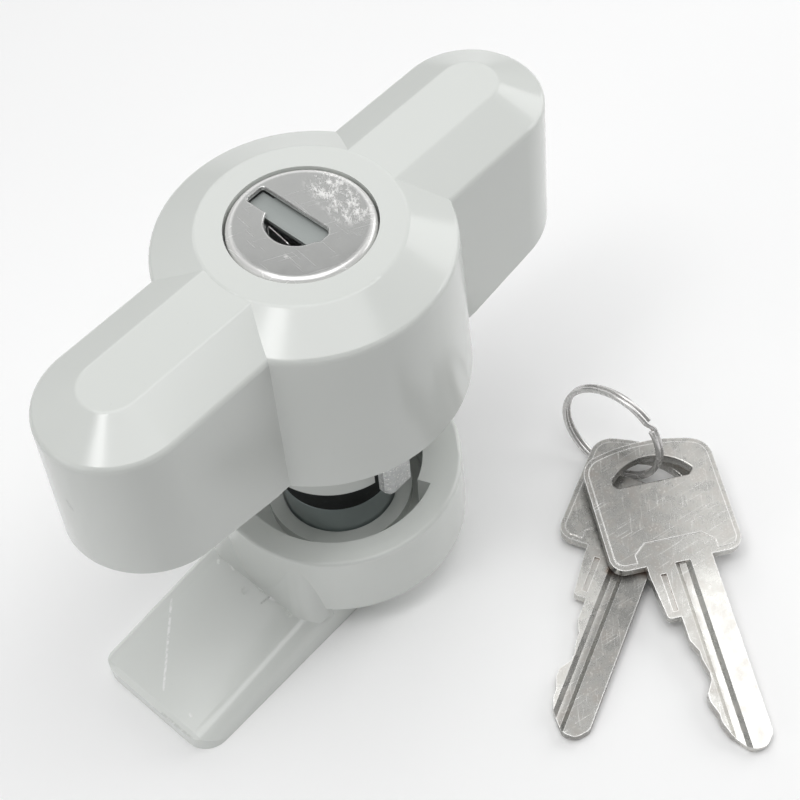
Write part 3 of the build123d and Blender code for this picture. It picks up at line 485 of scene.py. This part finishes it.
def lay_floor(studio):
    """A wide plain floor at the level that the lever and the keys rest on."""
    half = FLOOR_HALF_WIDTH
    level = cad_low.z - FLOOR_GAP
    sheet = bpy.data.meshes.new("floor")
    corners = [(-half, -half, level), (half, -half, level), (half, half, level), (-half, half, level)]
    sheet.from_pydata(corners, [], [(0, 1, 2, 3)])
    floor = bpy.data.objects.new("floor", sheet)
    bpy.context.scene.collection.objects.link(floor)
    surface = Surface("floor")
    mottle = surface.noise(60, 2.0)
    colour = surface.tint(opaque(studio.floor_colour, 0.985), opaque(studio.floor_colour), mottle)
    sheet.materials.append(surface.finish(Base_Color=colour, Roughness=0.75))


def hang_lamp(name, place, width, depth, power):
    """A soft rectangular lamp that points at the lock."""
    light = bpy.data.lights.new(name, "AREA")
    light.shape = "RECTANGLE"
    light.size = width
    light.size_y = depth
    light.energy = power
    lamp = bpy.data.objects.new(name, light)
    lamp.location = place
    lamp.rotation_euler = (-place).to_track_quat("-Z", "Y").to_euler()
    bpy.context.scene.collection.objects.link(lamp)


def set_sky(context, studio):
    """Even pale light from all round."""
    world = bpy.data.worlds.new("sky")
    context.scene.world = world
    world.use_nodes = True
    background = world.node_tree.nodes["Background"]
    background.inputs["Color"].default_value = SKY_COLOUR
    background.inputs["Strength"].default_value = studio.sky


class LOCK_OT_shell_plastic(Operator):
    """Finish the light plastic of the handle, the neck and the lever"""

    bl_idname = "lock.shell_plastic"
    bl_label = "Light plastic"

    def execute(self, context):
        look = context.scene.lock_look.plastic
        paint(light_plastic("shell_plastic", look, HANDLE_MARKS, 1.0), "handle_shell", "neck")
        # Painted light: the lever gets the handle's plastic painted 12% lighter, for the light on its top
        paint(light_plastic("lever_plastic", look, LEVER_MARKS, 1.12), "lever")
        return {"FINISHED"}


def light_plastic(name, look, marks, lightness):
    """Glossy moulded plastic with a faint mottle, dust, a painted highlight along its edges, marks and a
    fine skin.
    """
    surface = Surface(name)
    plain = opaque(look.shell_colour, lightness)
    mottle = surface.noise(22, 3.0)
    dust = surface.noise(0.8, 2.0, 0.6).rise(0.72, 0.8)
    skin = surface.noise(0.5, 3.0)
    sag = surface.noise(8.0, 1.0)
    tone = surface.tint(opaque(plain, 0.985), opaque(plain, 1.01), mottle)
    tone = surface.tint(tone, opaque(plain, 0.82), dust * 0.3)
    # Painted highlight: every edge of the plastic is made lighter
    tone = surface.tint(tone, opaque(plain, 1.3), surface.lit_and_worn_edges(0.2) * 0.5)
    height = skin * 0.06 + sag * 0.6
    broken = surface.noise(0.7, 3.0, 0.7).rise(0.36, 0.56)
    for start, end, width, shade in marks:
        mark = surface.near(start, end, width) * broken
        tone = surface.tint(tone, opaque(plain, shade), mark * 0.8)
        height = height - mark * 0.8
    surface.bump(height, 0.03)
    rough = look.shell_roughness + mottle * 0.04 + dust * 0.1
    return surface.finish(Base_Color=tone, Roughness=rough, Specular_IOR_Level=0.5)


class LOCK_OT_hub_and_bush(Operator):
    """Finish the grey hub and the black bush"""

    bl_idname = "lock.hub_and_bush"
    bl_label = "Hub and bush"

    def execute(self, context):
        look = context.scene.lock_look.plastic
        hub = Surface("hub_plastic")
        mottle = hub.noise(6, 3.0)
        hub.bump(hub.noise(0.35, 3.0), 0.012)
        tone = hub.tint(opaque(look.hub_colour, 0.95), opaque(look.hub_colour, 1.12), mottle)
        # Painted highlight: the hub's edges are made lighter
        tone = hub.tint(tone, opaque(look.hub_colour, 1.7), hub.lit_and_worn_edges(0.5) * 0.6)
        paint(hub.finish(Base_Color=tone, Roughness=0.24 + mottle * 0.1), "drive_shaft")
        bush = Surface("bush_rubber")
        dust = bush.noise(1.2, 4.0, 0.65)
        bush.bump(bush.noise(0.25, 3.0), 0.03)
        tone = bush.tint(opaque(look.bush_colour), opaque(look.bush_colour, 3.0), dust.rise(0.5, 0.8))
        paint(bush.finish(Base_Color=tone, Roughness=0.55 + dust * 0.2), "neck_bush")
        return {"FINISHED"}


class LOCK_OT_cap(Operator):
    """Finish the face cap, the shutter, its pin and its spring"""

    bl_idname = "lock.cap"
    bl_label = "Cap and shutter"

    def execute(self, context):
        look = context.scene.lock_look.metal
        paint(cap_steel(look), "face_cap")
        paint(bright_steel("spring_steel", look, 0.2), "shutter_pin", "shutter_spring")
        shutter = Surface("shutter_steel")
        grain = shutter.noise(0.6, 3.0, 0.5, (1.0, 12.0, 1.0))
        shutter.bump(grain, 0.01)
        tone = shutter.tint(opaque(look.shutter_colour, 0.93), opaque(look.shutter_colour, 1.06), grain)
        paint(shutter.finish(Base_Color=tone, Metallic=0.35, Roughness=0.42 + grain * 0.12), "dust_shutter")
        return {"FINISHED"}


def cap_steel(look):
    """Polished steel with a dull film, hairlines, painted highlights along its edges and on its rim, and
    one scuffed side.
    """
    surface = Surface("cap_steel")
    film = surface.noise(3.0, 4.0, 0.6)
    swell = surface.noise(5.0, 1.0, 0.4)
    fine = surface.noise(0.2, 3.0, 0.6)
    hairs = surface.scratches(0.14, 7.0, 0.5, 0.24) + surface.scratches(0.16, 6.0, 1.7, 0.22)
    flecks = surface.noise(0.8, 6.0, 0.8, (1.0, 1.8, 1.0), (0.0, 0.0, 0.6)).rise(0.46, 0.6)
    scuff = surface.near(*CAP_SCUFF) * flecks
    dot = surface.near(*CAP_DOT)
    # Painted highlight along the cap's edges and round the keyhole
    edge = surface.lit_and_worn_edges(0.45, 0.94, 0.998)
    low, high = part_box("face_cap")
    rim_radius = (high.x - low.x) / 2
    outwards = surface.vector("MULTIPLY", surface.place, (1.0, 1.0, 0.0))
    # Painted highlight: the rolled rim is made pale
    rim = surface.vector("LENGTH", outwards, output="Value").rise(rim_radius * 0.88, rim_radius * 0.94)
    tone = surface.tint(opaque(look.cap_colour, 0.84), opaque(look.cap_colour, 1.16), film)
    # Lighter: painted highlights on the edges and the rim, with the real scuff, dot and hairlines
    bright = (edge + rim * 0.7 + scuff * 0.9 + dot * 0.4 + hairs * 0.2).limited()
    tone = surface.tint(tone, opaque(look.highlight_and_rubbed_colour), bright)
    surface.bump(fine * 0.04 + swell * 1.6 + scuff * 1.2 - hairs * 0.15 + dot * 1.5, 0.014)
    rough = 0.17 + film.rise(0.4, 0.75) * 0.12 + scuff * 0.2 + hairs * 0.1
    # The painted highlights are made less metallic so that their pale colour shows
    dull = (edge * 0.5 + rim * 0.7).limited()
    return surface.finish(Base_Color=tone, Metallic=0.8 * (1 - dull), Roughness=rough)


def bright_steel(name, look, roughness, metallic=1.0):
    """Bright steel with fine scratches that run several ways and a dull film in places."""
    surface = Surface(name)
    film = surface.noise(3.5, 4.0, 0.6)
    fine = surface.noise(0.18, 2.0, 0.6)
    hairs = surface.scratches(0.12, 5.0, 0.4, 0.26) + surface.scratches(0.13, 4.0, 1.9, 0.25)
    surface.bump(fine * 0.4 - hairs * 0.3, 0.01)
    tone = surface.tint(opaque(look.steel_colour, 0.86), opaque(look.steel_colour, 1.1), film)
    # Edges lighter: partly rubbed bright, partly a painted highlight
    tone = surface.tint(tone, opaque(look.highlight_and_rubbed_colour), surface.lit_and_worn_edges(0.15) * 0.7)
    rough = roughness + film.rise(0.4, 0.75) * 0.14 + hairs * 0.1
    return surface.finish(Base_Color=tone, Metallic=metallic, Roughness=rough)


def cast_zinc(name, look, depth, painted_glints):
    """Zinc as it comes from the mould: pitted, with painted glints in the middle of its grains."""
    surface = Surface(name)
    coarse = surface.grains(0.55)
    cells = surface.grains(0.26)
    clouds = surface.noise(1.6, 4.0, 0.6)
    surface.bump(cells * 0.5 + coarse * 0.8 + clouds * 0.6, depth)
    tone = surface.tint(opaque(look.cast_colour, 0.72), opaque(look.cast_colour, 1.2), clouds)
    # Painted glints: the middle of each coarse grain is made pale
    tone = surface.tint(tone, opaque(look.highlight_and_rubbed_colour), (1 - coarse.rise(0.1, 0.45)) * painted_glints)
    return surface.finish(Base_Color=tone, Metallic=0.85, Roughness=0.3 + cells * 0.2)


class LOCK_OT_works(Operator):
    """Finish the core, the barrel, the driver, the pawl and the wafers"""

    bl_idname = "lock.works"
    bl_label = "Lock works"

    def execute(self, context):
        look = context.scene.lock_look.metal
        # The pawl gets the full painted glints, the other castings a fifth of them
        paint(cast_zinc("cast_zinc", look, 0.03, 0.2), "plug", "lock_barrel", "crank_driver")
        paint(cast_zinc("pawl_zinc", look, 0.22, 1.0), "locking_pawl")
        brass = Surface("wafer_brass")
        grain = brass.noise(0.5, 3.0, 0.6, (1.0, 8.0, 1.0))
        brass.bump(grain, 0.01)
        tone = brass.tint(opaque(look.brass_colour, 0.8), opaque(look.brass_colour, 1.15), grain)
        paint(brass.finish(Base_Color=tone, Metallic=1.0, Roughness=0.3 + grain * 0.15), *wafer_names())
        return {"FINISHED"}


def wafer_names():
    """Names of the wafers' nodes, from the face inwards."""
    return sorted(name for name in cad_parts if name.startswith("wafer_") and name[-1].isdigit())


class LOCK_OT_fastenings(Operator):
    """Finish the screws, the washers and the clip"""

    bl_idname = "lock.fastenings"
    bl_label = "Fastenings"

    def execute(self, context):
        steel = bright_steel("fastening_steel", context.scene.lock_look.metal, 0.24)
        paint(steel, "plug_clip", "neck_screws", "shaft_screw", "lever_screw", "lever_washer",
              "lever_spring_washer")
        return {"FINISHED"}


class LOCK_OT_wafer_springs(Operator):
    """Wind a coil spring beside each wafer"""

    bl_idname = "lock.wafer_springs"
    bl_label = "Wafer springs"

    def execute(self, context):
        look = context.scene.lock_look
        low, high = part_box("wafer_springs")
        middle = (low + high) / 2
        coil = (high.x - low.x) / 2 - look.wire.spring_wire
        length = high.y - low.y - 2 * look.wire.spring_wire
        count = COIL_STEPS_PER_TURN * look.wire.spring_turns
        shell = bmesh.new()
        for name in wafer_names():
            wafer_low, wafer_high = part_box(name)
            foot = Vector((middle.x, high.y - look.wire.spring_wire, (wafer_low.z + wafer_high.z) / 2))
            place = Matrix.Translation(foot) @ Matrix.Rotation(math.pi / 2, 4, "X")
            steps = []
            for step in range(count + 1):
                share = step / count
                closed = 0.5 - 0.5 * math.cos(math.pi * share)
                rise = length * ((1 - COIL_CLOSED_SHARE) * share + COIL_CLOSED_SHARE * closed)
                steps.append((share * 2 * math.pi * look.wire.spring_turns, coil, rise, 1.0))
            wind(shell, place, steps, look.wire.spring_wire, look.wire.spring_wire, COIL_SIDES)
        steel = bright_steel("wafer_spring_steel", look.metal, 0.22)
        mesh_piece("wafer_spring_coils", shell, steel, "core", "bright_steel", "wafer_springs")
        return {"FINISHED"}


class LOCK_OT_keys(Operator):
    """Finish the two keys"""

    bl_idname = "lock.keys"
    bl_label = "Keys"

    def execute(self, context):
        look = context.scene.lock_look.metal
        for node, name, shoulder, heading, bow, blade in KEYS:
            paint(key_nickel(name, look, shoulder, heading, bow, blade), node)
        return {"FINISHED"}


def key_nickel(name, look, shoulder, heading, bow, blade):
    """Worn nickel plate with painted reflections. Bow and blade each give two shares of its colour, for the
    left and the right.
    """
    surface = Surface(name)
    turn = (0.0, 0.0, -math.radians(heading))
    brushed = surface.noise(0.22, 3.0, 0.6, (16.0, 1.0, 16.0), turn)
    film = surface.noise(2.6, 4.0, 0.65)
    swell = surface.noise(4.0, 1.0, 0.4)
    pits = surface.noise(0.35, 3.0, 0.65)
    hairs = surface.scratches(0.14, 6.0, 0.3, 0.25) + surface.scratches(0.15, 5.0, 2.4, 0.25)
    edge = surface.lit_and_worn_edges(0.35, 0.86, 0.998)
    flecks = pits.rise(0.55, 0.66) * film.rise(0.45, 0.65)
    across = surface.along(shoulder, heading + 90)
    left_bow, right_bow = (opaque(look.key_colour, share) for share in bow)
    left_blade, right_blade = (opaque(look.key_colour, share) for share in blade)
    # Painted reflections: lighter and darker across the bow and the blade, and from bow to blade
    bow_reflection_tone = surface.tint(left_bow, right_bow, across.rise(-7.0 * MM, 10.0 * MM))
    blade_reflection_tone = surface.tint(left_blade, right_blade, across.rise(-0.6 * MM, 0.8 * MM))
    base = surface.tint(bow_reflection_tone, blade_reflection_tone, surface.along(shoulder, heading).rise(-1.0 * MM, 9.0 * MM))
    tarnish = surface.tint(base, opaque(look.tarnish_and_shade_colour), 0.2)
    tone = surface.tint(base, tarnish, film.rise(0.42, 0.7) * 0.7)
    # Lighter: edges partly rubbed bright and partly a painted highlight, with scratches and flecks
    bright = (edge * 0.9 + hairs * 0.3 + flecks * 0.4).limited()
    tone = surface.tint(tone, opaque(look.highlight_and_rubbed_colour), bright)
    # Painted shade: brown in crevices and in the gaps between the keys
    tone = surface.tint(tone, opaque(look.tarnish_and_shade_colour), surface.crevice_shade(2.2).rise(0.45, 0.95) * 0.75)
    # Painted shade: brown marks where the keys touch
    for start, end, width in KEY_SHADE_MARKS:
        tone = surface.tint(tone, opaque(look.tarnish_and_shade_colour), surface.near(start, end, width) * 0.7)
    surface.bump(brushed * 0.06 + pits * 0.14 + swell * 1.6 - hairs * 0.12, 0.02)
    rough = 0.2 + film.rise(0.35, 0.7) * 0.14 + brushed * 0.08 + flecks * 0.15
    return surface.finish(Base_Color=tone, Metallic=0.75, Roughness=rough)


class LOCK_OT_ring(Operator):
    """Wind the split ring: two turns that lie on each other, with the crossing between the wire's ends"""

    bl_idname = "lock.ring"
    bl_label = "Ring"

    def execute(self, context):
        look = context.scene.lock_look
        wire = look.wire
        low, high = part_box("key_ring")
        place = (Matrix.Translation((low + high) / 2) @ Matrix.Rotation(wire.ring_heading, 4, "Z")
                 @ Matrix.Rotation(math.pi / 2 - wire.ring_lean, 4, "Y"))
        side = (wire.ring_width + wire.ring_gap) / 2
        shift_start = 2 * math.pi - wire.ring_shift
        last = 4 * math.pi - wire.ring_shift
        steps = []
        for step in range(RING_STEPS + 1):
            turned = last * step / RING_STEPS
            share = min(max((turned - shift_start) / wire.ring_shift, 0.0), 1.0)
            crossed = share * share * (3 - 2 * share)
            steps.append((wire.ring_end - turned, wire.ring_radius, side * (1 - 2 * crossed), 1.0))
        steps = rounded_ends(steps, wire.ring_thickness / 4)
        shell = bmesh.new()
        wind(shell, place, steps, wire.ring_thickness / 2, wire.ring_width / 2, RING_SIDES, RING_ROUNDNESS)
        steel = bright_steel("ring_steel", look.metal, 0.2, 0.6)
        mesh_piece("split_ring", shell, steel, "ring", "key_steel", "key_ring")
        return {"FINISHED"}


def rounded_ends(steps, depth):
    """The same winding with its two ends drawn in over a depth."""
    first = drawn_in(steps[0], steps[1], depth)
    last = drawn_in(steps[-1], steps[-2], depth)
    return first[::-1] + steps + last


def drawn_in(end, beside, depth):
    """Further steps past an end of a winding, in which the wire grows thin."""
    angle, radius, height, _ = end
    way = math.copysign(1, angle - beside[0])
    return [(angle + way * depth / radius * out, radius, height, scale) for out, scale in WIRE_END]


class LOCK_PT_panel(Panel):
    """Lists the lock's pieces and their settings"""

    bl_idname = "LOCK_PT_panel"
    bl_label = "Key lock"
    bl_space_type = "VIEW_3D"
    bl_region_type = "UI"
    bl_category = "Key lock"

    def draw(self, context):
        look = context.scene.lock_look
        for group in (look.plastic, look.metal, look.wire, look.studio):
            box = self.layout.box()
            for name in group.bl_rna.properties.keys():
                if name not in ("rna_type", "name"):
                    box.prop(group, name)
        for operator in OPERATORS:
            self.layout.operator(operator.bl_idname)


GROUPS = (LOCK_PG_plastic, LOCK_PG_metal, LOCK_PG_wire, LOCK_PG_studio, LOCK_PG_look)
OPERATORS = (
    LOCK_OT_studio,
    LOCK_OT_shell_plastic,
    LOCK_OT_hub_and_bush,
    LOCK_OT_cap,
    LOCK_OT_works,
    LOCK_OT_fastenings,
    LOCK_OT_wafer_springs,
    LOCK_OT_keys,
    LOCK_OT_ring,
)
CLASSES = GROUPS + OPERATORS + (LOCK_PT_panel,)


def register():
    """Add the classes and the settings to Blender."""
    for item in CLASSES:
        bpy.utils.register_class(item)
    bpy.types.Scene.lock_look = PointerProperty(type=LOCK_PG_look)


def unregister():
    """Take the settings and the classes out again."""
    del bpy.types.Scene.lock_look
    for item in reversed(CLASSES):
        bpy.utils.unregister_class(item)


def main():
    """Build everything."""
    register()
    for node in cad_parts.values():
        show_smooth(node)
    bpy.ops.lock.studio()
    bpy.ops.lock.shell_plastic()
    bpy.ops.lock.hub_and_bush()
    bpy.ops.lock.cap()
    bpy.ops.lock.works()
    bpy.ops.lock.fastenings()
    bpy.ops.lock.wafer_springs()
    bpy.ops.lock.keys()
    bpy.ops.lock.ring()


if __name__ == "__main__":
    main()
